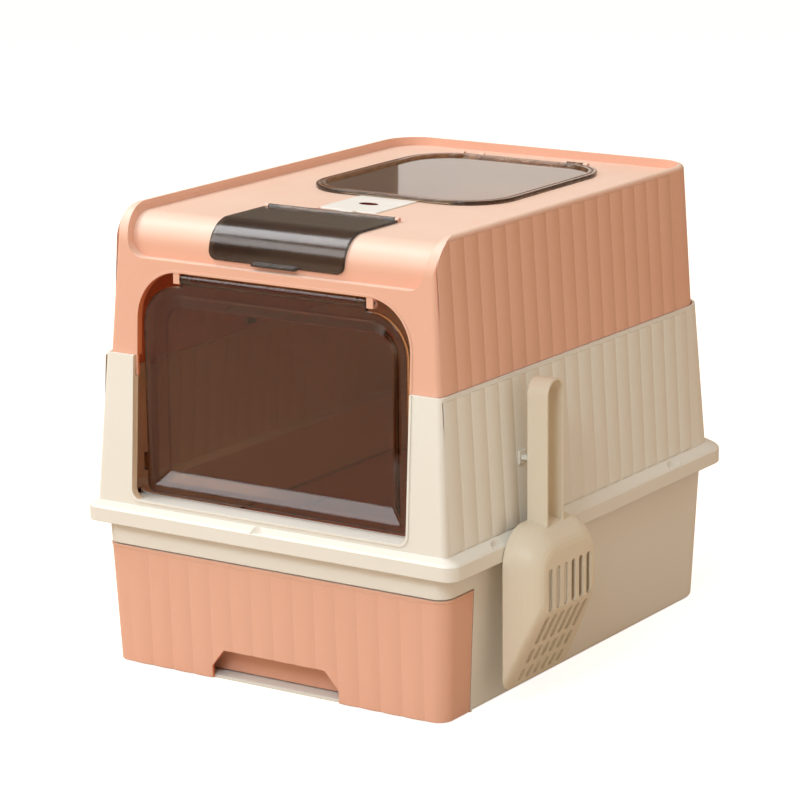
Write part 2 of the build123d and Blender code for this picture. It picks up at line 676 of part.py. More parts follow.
with BuildSketch(Plane.XY.offset(PANEL_TOP - COVER_WALL - 1)) as hatch_hole:
    with Locations((0, HATCH_MIDDLE)):
        RectangleRounded(
            HATCH_WIDTH - 2 * HATCH_OVERLAP, HATCH_LENGTH - 2 * HATCH_OVERLAP, HATCH_RADIUS - HATCH_OVERLAP
        )
LATCH_REAR = HATCH_FRONT - MOVING_GAP
LATCH_FRONT = LATCH_REAR - LATCH_LENGTH
LATCH_MIDDLE = (LATCH_FRONT + LATCH_REAR) / 2
pocket = slab(
    (-VISOR_WIDTH / 2 + VISOR_OVERLAP, -FAR, VISOR_BOTTOM + VISOR_OVERLAP - 2),
    (VISOR_WIDTH / 2 - VISOR_OVERLAP, VISOR_REAR - VISOR_OVERLAP - 2, FAR),
)
ear = slab(
    (EAR_INNER, roof.front(OPENING_TOP), BARREL_Z - DOOR_BARREL_RADIUS),
    (EAR_INNER + EAR_WIDTH, BARREL_Y + DOOR_BARREL_RADIUS, OPENING_TOP + COVER_WALL),
)
SMALL_BARREL_HALF = VISOR_WIDTH / 2 - SMALL_EAR_WIDTH - MOVING_GAP
KNUCKLE_X = HATCH_HINGE_SPACING / 2


def lug(start, end, y, z, front_reach):
    """A round-topped lug on the sunk panel, with its axis along X."""
    with BuildPart() as post:
        add(rod_x(SMALL_BARREL_RADIUS, start, end, y, z))
        add(slab((start, y - SMALL_BARREL_RADIUS, PANEL_TOP - 1), (end, y + SMALL_BARREL_RADIUS, z)))
        add(slab((start, -FAR, -FAR), (end, y - front_reach, FAR)), mode=Mode.SUBTRACT)
    return post.part


small_lugs = []
for side in (-1, 1):
    start, end = sorted((side * (SMALL_BARREL_HALF + MOVING_GAP), side * VISOR_WIDTH / 2))
    small_lugs.append(lug(start, end, VISOR_AXIS_Y, VISOR_AXIS_Z, SMALL_BARREL_RADIUS))
    for end_side in (-1, 1):
        near = side * KNUCKLE_X + end_side * (HATCH_KNUCKLE / 2 + MOVING_GAP)
        start, end = sorted((near, near + end_side * LUG_WIDTH))
        small_lugs.append(lug(start, end, HATCH_AXIS_Y, HATCH_AXIS_Z, SMALL_BARREL_RADIUS - MOVING_GAP))

# hollow cheeks each side of the panel, inside the nose
cheek_low = LEDGE_Z - 1
cheek_top = COVER_TOP - 2 * COVER_WALL
with BuildSketch(Plane.XZ) as cheek_outline:
    with BuildLine():
        Polyline(
            (low_half + COVER_WALL, cheek_low),
            (roof.half_width(cheek_low) - COVER_WALL, cheek_low),
            (roof.half_width(cheek_top) - COVER_WALL, cheek_top),
            (roof.half_width(cheek_top) - 2 * COVER_WALL, cheek_top),
            close=True,
        )
    make_face()
with BuildPart() as cheek:
    add(through_front(cheek_outline.sketch, roof.front(COVER_TOP) + COVER_WALL, NOSE_Y + 1))
    add(nose_outside(NOSE_RADIUS - COVER_WALL), mode=Mode.SUBTRACT)
latch_seat_low = (
    -LATCH_WIDTH / 2 - MOVING_GAP,
    LATCH_FRONT - LATCH_TRAVEL - MOVING_GAP,
    PANEL_TOP - LATCH_SINK,
)
latch_seat_high = (LATCH_WIDTH / 2 + MOVING_GAP, LATCH_REAR + HATCH_OVERLAP / 2, FAR)
with BuildPart() as top_cover:
    add(roof.block(MID_TOP, COVER_TOP))
    fillet(top_cover.edges().group_by(Axis.Z)[-1].filter_by(lambda e: e.center().Y > NOSE_Y), COVER_EDGE_ROUND)
    roof_start = roof.front(MID_TOP) + COVER_FRONT_RADIUS + 1
    roof_run = roof.rear(MID_TOP) - COVER_REAR_RADIUS - roof_start
    roof_rear_flutes = int(2 * (roof.half_width(COVER_TOP) - COVER_REAR_RADIUS) / FLUTE_PITCH)
    add(
        flutes(
            roof,
            MID_TOP + SEAT_GAP,
            COVER_TOP - COVER_EDGE_ROUND,
            FLUTE_RISE,
            roof_start,
            int(roof_run / FLUTE_PITCH),
            roof_rear_flutes,
        )
    )
    add(nose_outside(NOSE_RADIUS), mode=Mode.SUBTRACT)
    add(panel_sink.part, mode=Mode.SUBTRACT)
    add(roof_hollow.part, mode=Mode.SUBTRACT)
    add(nose_hollow.part, mode=Mode.SUBTRACT)
    add(skirt.ring(ROOF_BOTTOM, MID_TOP, 0, COVER_WALL))
    add(roof_lip.part)
    add(through_front(opening_high, -FAR, roof.front(MID_TOP) + 40), mode=Mode.SUBTRACT)
    add(cheek.part, mode=Mode.SUBTRACT)
    add(cheek.part.mirror(Plane.YZ), mode=Mode.SUBTRACT)
    add(ear)
    add(ear.mirror(Plane.YZ))
    hole = PIN_RADIUS + PIN_FIT
    add(rod_x(hole, -EAR_INNER - EAR_WIDTH - 1, EAR_INNER + EAR_WIDTH + 1, BARREL_Y, BARREL_Z), mode=Mode.SUBTRACT)
    add(pocket, mode=Mode.SUBTRACT)
    extrude(hatch_hole.sketch, amount=COVER_WALL + 3, mode=Mode.SUBTRACT)
    add(slab(latch_seat_low, latch_seat_high), mode=Mode.SUBTRACT)
    tab_half = LATCH_TAB_WIDTH / 2 + MOVING_GAP
    tab_front = LATCH_FRONT - 2 * LATCH_TRAVEL - MOVING_GAP
    add(slab((-tab_half, tab_front, PANEL_TOP - LATCH_SINK), (tab_half, LATCH_FRONT, FAR)), mode=Mode.SUBTRACT)
    with BuildSketch(Plane.XY.offset(PANEL_TOP - COVER_WALL - 1)):
        with Locations((0, LATCH_MIDDLE - LATCH_TRAVEL / 2)):
            with GridLocations(LATCH_STEM_SPACING, 0, 2, 1):
                Rectangle(
                    LATCH_STEM_WIDTH + 2 * MOVING_GAP, LATCH_STEM_LENGTH + LATCH_TRAVEL + 2 * MOVING_GAP
                )
            Ellipse(LATCH_HOLE_WIDTH / 2 + 1, LATCH_HOLE_LENGTH / 2 + LATCH_TRAVEL / 2 + 1)
    extrude(amount=COVER_WALL + 3, mode=Mode.SUBTRACT)
    groove_half = SMALL_BARREL_HALF + MOVING_GAP
    add(
        rod_x(SMALL_BARREL_RADIUS + MOVING_GAP, -groove_half, groove_half, VISOR_AXIS_Y, VISOR_AXIS_Z),
        mode=Mode.SUBTRACT,
    )
    add(small_lugs)
    small_hole = SMALL_PIN_RADIUS + PIN_FIT
    hatch_pin_half = KNUCKLE_X + HATCH_KNUCKLE / 2 + LUG_WIDTH + 1
    add(rod_x(small_hole, -VISOR_WIDTH / 2, VISOR_WIDTH / 2, VISOR_AXIS_Y, VISOR_AXIS_Z), mode=Mode.SUBTRACT)
    add(rod_x(small_hole, -hatch_pin_half, hatch_pin_half, HATCH_AXIS_Y, HATCH_AXIS_Z), mode=Mode.SUBTRACT)
finish(top_cover.part, "top_cover")

catch_zone = slab(
    (-FAR, COVER_CATCH_Y - COVER_CATCH_SIZE / 2, COVER_CATCH_Z - COVER_CATCH_SIZE / 2),
    (FAR, COVER_CATCH_Y + COVER_CATCH_SIZE / 2, COVER_CATCH_Z + COVER_CATCH_SIZE / 2),
)
with BuildPart() as cover_catches:
    add(skirt.ring(ROOF_BOTTOM, MID_TOP, COVER_WALL, COVER_WALL + COVER_CATCH_THICKNESS))
    add(catch_zone, mode=Mode.INTERSECT)
finish(cover_catches.part, "cover_catches")

# ---------------------------------------------------------------- front door
DOOR_HALF = OPENING_WIDTH / 2 - OPENING_STEP - LIP_WIDTH / 2 - DOOR_SIDE_GAP + LIP_WIDTH
DOOR_BOTTOM = OPENING_BOTTOM + DOOR_LOW_GAP
DOOR_TOP = OPENING_TOP - DOOR_TOP_GAP
DOOR_FACE = BARREL_Y - DOOR_BARREL_RADIUS + 1.0
DOOR_BACK = DOOR_FACE + DOOR_THICKNESS
DOOR_TOP_RADIUS = OPENING_TOP_RADIUS - DOOR_SIDE_GAP
DOOR_LOW_RADIUS = OPENING_LOW_RADIUS - 2


def door_section(y, inset):
    """The door's outline at depth y, drawn in by inset."""
    outline = front_frame(
        2 * (DOOR_HALF - inset),
        DOOR_BOTTOM + inset,
        DOOR_TOP - inset,
        max(DOOR_LOW_RADIUS - inset, 2),
        DOOR_TOP_RADIUS - inset,
    )
    return outline.moved(Location((0, y, 0)))


def door_dish(face, inset, depth, width):
    """A shallow dish that narrows by width as it goes back by depth."""
    with BuildPart() as dish:
        loft(sections=[door_section(face, inset), door_section(face + depth, inset + width)])
    return dish.part


PANE_Y = DOOR_FACE + DOOR_RECESS
with BuildPart() as front_door:
    add(through_front(door_section(0, 0), DOOR_FACE, DOOR_BACK))
    add(door_dish(DOOR_FACE, DOOR_RIM - DOOR_SKIN, DOOR_RECESS + DOOR_SKIN, DOOR_BEVEL))
    add(door_dish(DOOR_FACE, DOOR_RIM, DOOR_RECESS, DOOR_BEVEL), mode=Mode.SUBTRACT)
    fillet(front_door.faces().sort_by(Axis.Y)[0].outer_wire().edges(), 1.0)
    add(
        slab(
            (-DOOR_BARREL_LENGTH / 2, DOOR_FACE, DOOR_TOP - DOOR_RIM / 2),
            (DOOR_BARREL_LENGTH / 2, DOOR_BACK, BARREL_Z),
        )
    )
    add(rod_x(DOOR_BARREL_RADIUS, -DOOR_BARREL_LENGTH / 2, DOOR_BARREL_LENGTH / 2, BARREL_Y, BARREL_Z))
    for side in (-1, 1):
        near, far = sorted((side * (DOOR_HALF - 1), side * (DOOR_HALF + DOOR_TAB_WIDTH)))
        tab_low = DOOR_BOTTOM + 2 * DOOR_BEVEL - DOOR_TAB_HEIGHT / 2
        add(slab((near, DOOR_FACE + 1, tab_low), (far, DOOR_BACK, tab_low + DOOR_TAB_HEIGHT)))
        near, far = sorted((side * (DOOR_BARREL_LENGTH / 2 - PIN_REACH), side * FAR))
        add(rod_x(PIN_RADIUS + PIN_RUNNING_FIT, near, far, BARREL_Y, BARREL_Z), mode=Mode.SUBTRACT)
finish(front_door.part, "front_door")

with BuildPart() as door_pins:
    for side in (-1, 1):
        inner = side * (DOOR_BARREL_LENGTH / 2 - PIN_REACH + 1)
        outer = side * (EAR_INNER + EAR_WIDTH - 1)
        start, end = sorted((inner, outer))
        add(rod_x(PIN_RADIUS, start, end, BARREL_Y, BARREL_Z))
finish(door_pins.part, "door_hinge_pins")

# ---------------------------------------------------------------- storage lid, its pins and the bin below
visor_under = PANEL_RADIUS + VISOR_LIFT
visor_over = visor_under + VISOR_THICKNESS


def nose_shell(inner, outer, low, rear):
    """A sheet that follows the nose between two radii, from low on the front to rear on the top."""
    with BuildPart() as sheet:
        with BuildSketch(Plane.YZ):
            with BuildLine():
                Line((NOSE_Y - inner, low), (NOSE_Y - inner, NOSE_Z))
                RadiusArc((NOSE_Y - inner, NOSE_Z), (NOSE_Y, NOSE_Z + inner), inner)
                Line((NOSE_Y, NOSE_Z + inner), (rear, NOSE_Z + inner))
                Line((rear, NOSE_Z + inner), (rear, NOSE_Z + outer))
                Line((rear, NOSE_Z + outer), (NOSE_Y, NOSE_Z + outer))
                RadiusArc((NOSE_Y, NOSE_Z + outer), (NOSE_Y - outer, NOSE_Z), -outer)
                Line((NOSE_Y - outer, NOSE_Z), (NOSE_Y - outer, low))
                Line((NOSE_Y - outer, low), (NOSE_Y - inner, low))
            make_face()
        extrude(amount=VISOR_WIDTH / 2, both=True)
    return sheet.part


with BuildPart() as visor_cover:
    add(nose_shell(visor_under, visor_over, VISOR_BOTTOM, VISOR_AXIS_Y))
    fillet(visor_cover.edges().filter_by(Axis.Y).group_by(Axis.Z)[0], VISOR_CORNER)
    add(
        slab(
            (-PULL_WIDTH / 2, NOSE_Y - visor_over - PULL_REACH, VISOR_BOTTOM - 1),
            (PULL_WIDTH / 2, NOSE_Y - visor_under - VISOR_THICKNESS / 2, VISOR_BOTTOM - 1 + PULL_HEIGHT),
        )
    )
    for side in (-1, 1):
        near, far = sorted((side * SMALL_BARREL_HALF, side * FAR))
        notch_front = VISOR_AXIS_Y - SMALL_BARREL_RADIUS - 2 * MOVING_GAP
        add(slab((near, notch_front, PANEL_TOP), (far, FAR, FAR)), mode=Mode.SUBTRACT)
    add(rod_x(SMALL_BARREL_RADIUS, -SMALL_BARREL_HALF, SMALL_BARREL_HALF, VISOR_AXIS_Y, VISOR_AXIS_Z))
    for side in (-1, 1):
        near, far = sorted((side * (SMALL_BARREL_HALF - PIN_REACH), side * FAR))
        add(
            rod_x(SMALL_PIN_RADIUS + PIN_RUNNING_FIT, near, far, VISOR_AXIS_Y, VISOR_AXIS_Z),
            mode=Mode.SUBTRACT,
        )
finish(visor_cover.part, "visor_cover")

with BuildPart() as visor_pins:
    for side in (-1, 1):
        start, end = sorted((side * (SMALL_BARREL_HALF - PIN_REACH + 1), side * (VISOR_WIDTH / 2 - 0.5)))
        add(rod_x(SMALL_PIN_RADIUS, start, end, VISOR_AXIS_Y, VISOR_AXIS_Z))
finish(visor_pins.part, "visor_hinge_pins")

bin_half = VISOR_WIDTH / 2 - 1
bin_rear = VISOR_REAR - VISOR_OVERLAP
with BuildPart() as storage_bin:
    add(
        slab(
            (-bin_half, NOSE_Y - PANEL_RADIUS + COVER_WALL + SEAT_GAP, BIN_BOTTOM),
            (bin_half, bin_rear, PANEL_TOP - COVER_WALL - SEAT_GAP),
        )
    )
    add(nose_outside(PANEL_RADIUS - COVER_WALL - SEAT_GAP), mode=Mode.SUBTRACT)
    add(
        slab(
            (-bin_half + BIN_WALL, -FAR, BIN_BOTTOM + BIN_WALL),
            (bin_half - BIN_WALL, bin_rear - BIN_WALL, FAR),
        ),
        mode=Mode.SUBTRACT,
    )
finish(storage_bin.part, "storage_bin")

# ---------------------------------------------------------------- top hatch
HATCH_LOW = PANEL_TOP + MOVING_GAP


def hatch_plan(z, inset):
    """The hatch's outline at height z, drawn in by inset."""
    with BuildSketch(Plane.XY.offset(z)) as plan:
        with Locations((0, HATCH_MIDDLE)):
            RectangleRounded(HATCH_WIDTH - 2 * inset, HATCH_LENGTH - 2 * inset, HATCH_RADIUS - inset)
    return plan.sketch


def hatch_ring(low, high, outer_inset, inner_inset):
    """A band of the hatch between two insets."""
    with BuildPart() as band:
        extrude(hatch_plan(low, outer_inset), amount=high - low)
        extrude(hatch_plan(low, inner_inset), amount=high - low, mode=Mode.SUBTRACT)
    return band.part


plug_inset = HATCH_OVERLAP + HATCH_PLUG_GAP
groove_inset = (HATCH_RIM - HATCH_GROOVE) / 2
with BuildPart() as top_hatch:
    add(hatch_ring(HATCH_LOW, HATCH_LOW + HATCH_HEIGHT, 0, HATCH_RIM))
    fillet(top_hatch.faces().sort_by(Axis.Z)[-1].edges(), 0.8)
    groove = hatch_ring(
        HATCH_LOW + HATCH_HEIGHT - HATCH_GROOVE, HATCH_LOW + HATCH_HEIGHT, groove_inset, groove_inset + HATCH_GROOVE
    )
    add(groove, mode=Mode.SUBTRACT)
    extrude(hatch_plan(HATCH_LOW, HATCH_RIM - 1), amount=HATCH_PANE)
    add(hatch_ring(HATCH_LOW - HATCH_PLUG, HATCH_LOW + HATCH_PANE / 2, plug_inset, plug_inset + HATCH_PLUG_WALL))
    for side in (-1, 1):
        start = side * KNUCKLE_X - HATCH_KNUCKLE / 2
        end = side * KNUCKLE_X + HATCH_KNUCKLE / 2
        add(rod_x(SMALL_BARREL_RADIUS, start, end, HATCH_AXIS_Y, HATCH_AXIS_Z))
        web_top = HATCH_AXIS_Z + SMALL_BARREL_RADIUS / 2
        add(slab((start, HATCH_REAR - 2, HATCH_LOW), (end, HATCH_AXIS_Y, web_top)))
        add(
            rod_x(SMALL_PIN_RADIUS + PIN_RUNNING_FIT, start - 1, end + 1, HATCH_AXIS_Y, HATCH_AXIS_Z),
            mode=Mode.SUBTRACT,
        )
finish(top_hatch.part, "top_hatch")

with BuildPart() as hatch_pins:
    for side in (-1, 1):
        reach = HATCH_KNUCKLE / 2 + MOVING_GAP + LUG_WIDTH - 0.5
        add(
            rod_x(SMALL_PIN_RADIUS, side * KNUCKLE_X - reach, side * KNUCKLE_X + reach, HATCH_AXIS_Y, HATCH_AXIS_Z)
        )
finish(hatch_pins.part, "hatch_hinge_pins")

# ---------------------------------------------------------------- slide catch
latch_low = PANEL_TOP - LATCH_SINK + SEAT_GAP
latch_high = latch_low + LATCH_THICKNESS
stem_low = PANEL_TOP - COVER_WALL - SEAT_GAP - KEEPER_THICKNESS / 2
with BuildPart() as hatch_latch:
    with BuildSketch(Plane.XY.offset(latch_low)):
        with Locations((0, LATCH_MIDDLE)):
            RectangleRounded(LATCH_WIDTH, LATCH_LENGTH, 2)
        with Locations((0, LATCH_FRONT)):
            Rectangle(LATCH_TAB_WIDTH, 2 * LATCH_TRAVEL)
        with Locations((0, LATCH_MIDDLE)):
            Ellipse(LATCH_HOLE_WIDTH / 2, LATCH_HOLE_LENGTH / 2, mode=Mode.SUBTRACT)
    extrude(amount=LATCH_THICKNESS)
    with BuildSketch(Plane.XY.offset(stem_low)):
        with Locations((0, LATCH_MIDDLE)):
            with GridLocations(LATCH_STEM_SPACING, 0, 2, 1):
                Rectangle(LATCH_STEM_WIDTH, LATCH_STEM_LENGTH)
    extrude(amount=latch_low - stem_low)
finish(hatch_latch.part, "hatch_latch")

keeper_high = PANEL_TOP - COVER_WALL - SEAT_GAP
with BuildPart() as latch_keeper:
    with BuildSketch(Plane.XY.offset(keeper_high - KEEPER_THICKNESS)):
        with Locations((0, LATCH_MIDDLE)):
            RectangleRounded(LATCH_STEM_SPACING + 3 * LATCH_STEM_WIDTH, LATCH_STEM_LENGTH + 8, 2)
            Ellipse(LATCH_HOLE_WIDTH / 2 + 1, LATCH_HOLE_LENGTH / 2 + 1, mode=Mode.SUBTRACT)
            with GridLocations(LATCH_STEM_SPACING, 0, 2, 1):
                Rectangle(
                    LATCH_STEM_WIDTH + 2 * PIN_FIT, LATCH_STEM_LENGTH + 2 * PIN_FIT, mode=Mode.SUBTRACT
                )
    extrude(amount=KEEPER_THICKNESS)
finish(latch_keeper.part, "latch_keeper")
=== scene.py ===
import logging
from dataclasses import dataclass, field, replace
from enum import Enum
from math import cos, radians, sin

import bpy
from mathutils import Matrix, Vector

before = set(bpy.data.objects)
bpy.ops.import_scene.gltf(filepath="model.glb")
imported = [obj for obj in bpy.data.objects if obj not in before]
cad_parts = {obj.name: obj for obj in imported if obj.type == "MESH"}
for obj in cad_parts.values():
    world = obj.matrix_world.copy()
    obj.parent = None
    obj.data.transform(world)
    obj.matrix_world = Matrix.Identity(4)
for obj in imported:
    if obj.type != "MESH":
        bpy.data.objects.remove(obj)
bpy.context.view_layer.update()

# Looks for the drawer litter box. Metres; X to the right, the front door looks to -Y, Z up.

log = logging.getLogger("litter_box")

Node = bpy.types.Node
NodeTree = bpy.types.NodeTree
Socket = bpy.types.NodeSocket
Material = bpy.types.Material

WHITE_LIGHT = (1.0, 1.0, 1.0, 1.0)
FLUTE_PITCH = 0.0234
# Below this height, shade is painted on faces that look inwards.
PAINTED_SHADE_TOP = 0.385
GRAIN_SCALE = 900.0


class Slot(Enum):
    """The record's material slots."""

    WHITE_SHELL = "white_shell"
    PINK_SHELL = "pink_shell"
    TRAY_INNER = "tray_inner"
    CREAM_SCOOP = "cream_scoop"
    SMOKE_CLEAR = "smoke_clear"
    DARK_CLIP = "dark_clip"
    PIN_STEEL = "pin_steel"
    WHITE_LATCH = "white_latch"


@dataclass(frozen=True)
class Colour:
    """A colour as it is seen, each channel from 0 to 255."""

    red: float
    green: float
    blue: float

    def linear(self) -> tuple[float, float, float, float]:
        """Returns the colour as light, with full alpha."""
        return tuple(self._channel(v / 255) for v in (self.red, self.green, self.blue)) + (1.0,)

    @staticmethod
    def _channel(value: float) -> float:
        """Turns one display value into light, by the sRGB curve."""
        if value <= 0.04045:
            return value / 12.92
        return ((value + 0.055) / 1.055) ** 2.4


class Graph:
    """A node tree that is written one node at a time."""

    COLUMN_WIDTH = 190
    # A Mix node holds a set of sockets for each data type, under the same names.
    MIX_NUMBERS = (0, 2, 3)
    MIX_COLOURS = (0, 6, 7)
    MIX_COLOUR_RESULT = 2

    def __init__(self, tree: NodeTree) -> None:
        """Args:
            tree: the material's or the group's node tree.
        """
        self.tree = tree
        self.column = 0

    def node(self, kind: str, **values: object) -> Node:
        """Adds a node.

        Args:
            kind: the node's type.
            values: properties of the node.

        Returns:
            The new node.
        """
        made = self.tree.nodes.new(kind)
        made.location = (self.column, 0)
        self.column += self.COLUMN_WIDTH
        for name, value in values.items():
            setattr(made, name, value)
        return made

    def put(self, node: Node, **sockets: object) -> Node:
        """Sets or links input sockets by name, with spaces written as underscores.

        Args:
            node: the node to feed.
            sockets: a value, or an output socket to link.

        Returns:
            The same node.
        """
        for name, value in sockets.items():
            self.feed(node.inputs[name.replace("_", " ")], value)
        return node

    def feed(self, socket: Socket, value: object) -> None:
        """Sets or links one input socket.

        Args:
            socket: the input.
            value: a value, or an output socket.
        """
        if isinstance(value, Socket):
            self.tree.links.new(value, socket)
        else:
            socket.default_value = value

    def math(self, operation: str, first: object, second: object, clamp: bool = False) -> Socket:
        """Adds a Math node.

        Args:
            operation: the Math node's operation.
            first: the first input.
            second: the second input.
            clamp: whether the result is held between 0 and 1.

        Returns:
            The result's socket.
        """
        made = self.node("ShaderNodeMath", operation=operation, use_clamp=clamp)
        self.feed(made.inputs[0], first)
        self.feed(made.inputs[1], second)
        return made.outputs[0]

    def times(self, first: object, second: object, clamp: bool = False) -> Socket:
        """Adds a Math node that multiplies.

        Args:
            first: the first input.
            second: the second input.
            clamp: whether the result is held between 0 and 1.

        Returns:
            The result's socket.
        """
        return self.math("MULTIPLY", first, second, clamp)

    def blend(self, factor: object, first: object, second: object) -> Socket:
        """Adds a Mix node for colours.

        Args:
            factor: how much of the second colour.
            first: the first colour.
            second: the second colour.

        Returns:
            The result's socket.
        """
        made = self.node("ShaderNodeMix", data_type="RGBA", blend_type="MIX")
        for index, value in zip(self.MIX_COLOURS, (factor, first, second)):
            self.feed(made.inputs[index], value)
        return made.outputs[self.MIX_COLOUR_RESULT]

    def mix(self, factor: object, first: object, second: object) -> Socket:
        """Adds a Mix node for numbers.

        Args:
            factor: how much of the second number.
            first: the first number.
            second: the second number.

        Returns:
            The result's socket.
        """
        made = self.node("ShaderNodeMix", data_type="FLOAT")
        for index, value in zip(self.MIX_NUMBERS, (factor, first, second)):
            self.feed(made.inputs[index], value)
        return made.outputs[0]

    def ramp(
        self, value: object, low: float, high: float, start: float = 0.0, end: float = 1.0
    ) -> Socket:
        """Adds a smooth Map Range node.

        Args:
            value: the input.
            low: where the ramp starts.
            high: where the ramp ends.
            start: the result at low.
            end: the result at high.

        Returns:
            The result's socket.
        """
        made = self.node("ShaderNodeMapRange", interpolation_type="SMOOTHSTEP")
        for socket, number in zip(made.inputs, (value, low, high, start, end)):
            self.feed(socket, number)
        return made.outputs[0]

    def dot(self, first: object, second: object) -> Socket:
        """Adds a dot product.

        Args:
            first: the first vector.
            second: the second vector.

        Returns:
            The result's socket.
        """
        made = self.node("ShaderNodeVectorMath", operation="DOT_PRODUCT")
        self.feed(made.inputs[0], first)
        self.feed(made.inputs[1], second)
        return made.outputs["Value"]

    def place(self) -> Socket:
        """Returns the piece's own coordinates."""
        return self.node("ShaderNodeTexCoord").outputs["Object"]

    def facing(self) -> Socket:
        """Returns the direction that the surface faces."""
        return self.node("ShaderNodeNewGeometry").outputs["Normal"]

    def split(self, vector: Socket) -> Node:
        """Adds a Separate XYZ node.

        Args:
            vector: the vector to split.

        Returns:
            The node, whose outputs are X, Y and Z.
        """
        made = self.node("ShaderNodeSeparateXYZ")
        self.feed(made.inputs[0], vector)
        return made

    def noise(self, vector: Socket, **sockets: object) -> Socket:
        """Adds a Noise Texture node.

        Args:
            vector: where the noise is read.
            sockets: the other inputs, as put takes them.

        Returns:
            The noise's height.
        """
        return self.put(self.node("ShaderNodeTexNoise"), Vector=vector, **sockets).outputs[0]

    def group(self, tree: NodeTree, **sockets: object) -> Node:
        """Adds a group node.

        Args:
            tree: the group.
            sockets: its inputs, as put takes them.

        Returns:
            The node.
        """
        return self.put(self.node("ShaderNodeGroup", node_tree=tree), **sockets)

    def bump(self, **sockets: object) -> Socket:
        """Adds a Bump node.

        Args:
            sockets: its inputs, as put takes them.

        Returns:
            The bumped normal.
        """
        return self.put(self.node("ShaderNodeBump"), **sockets).outputs[0]


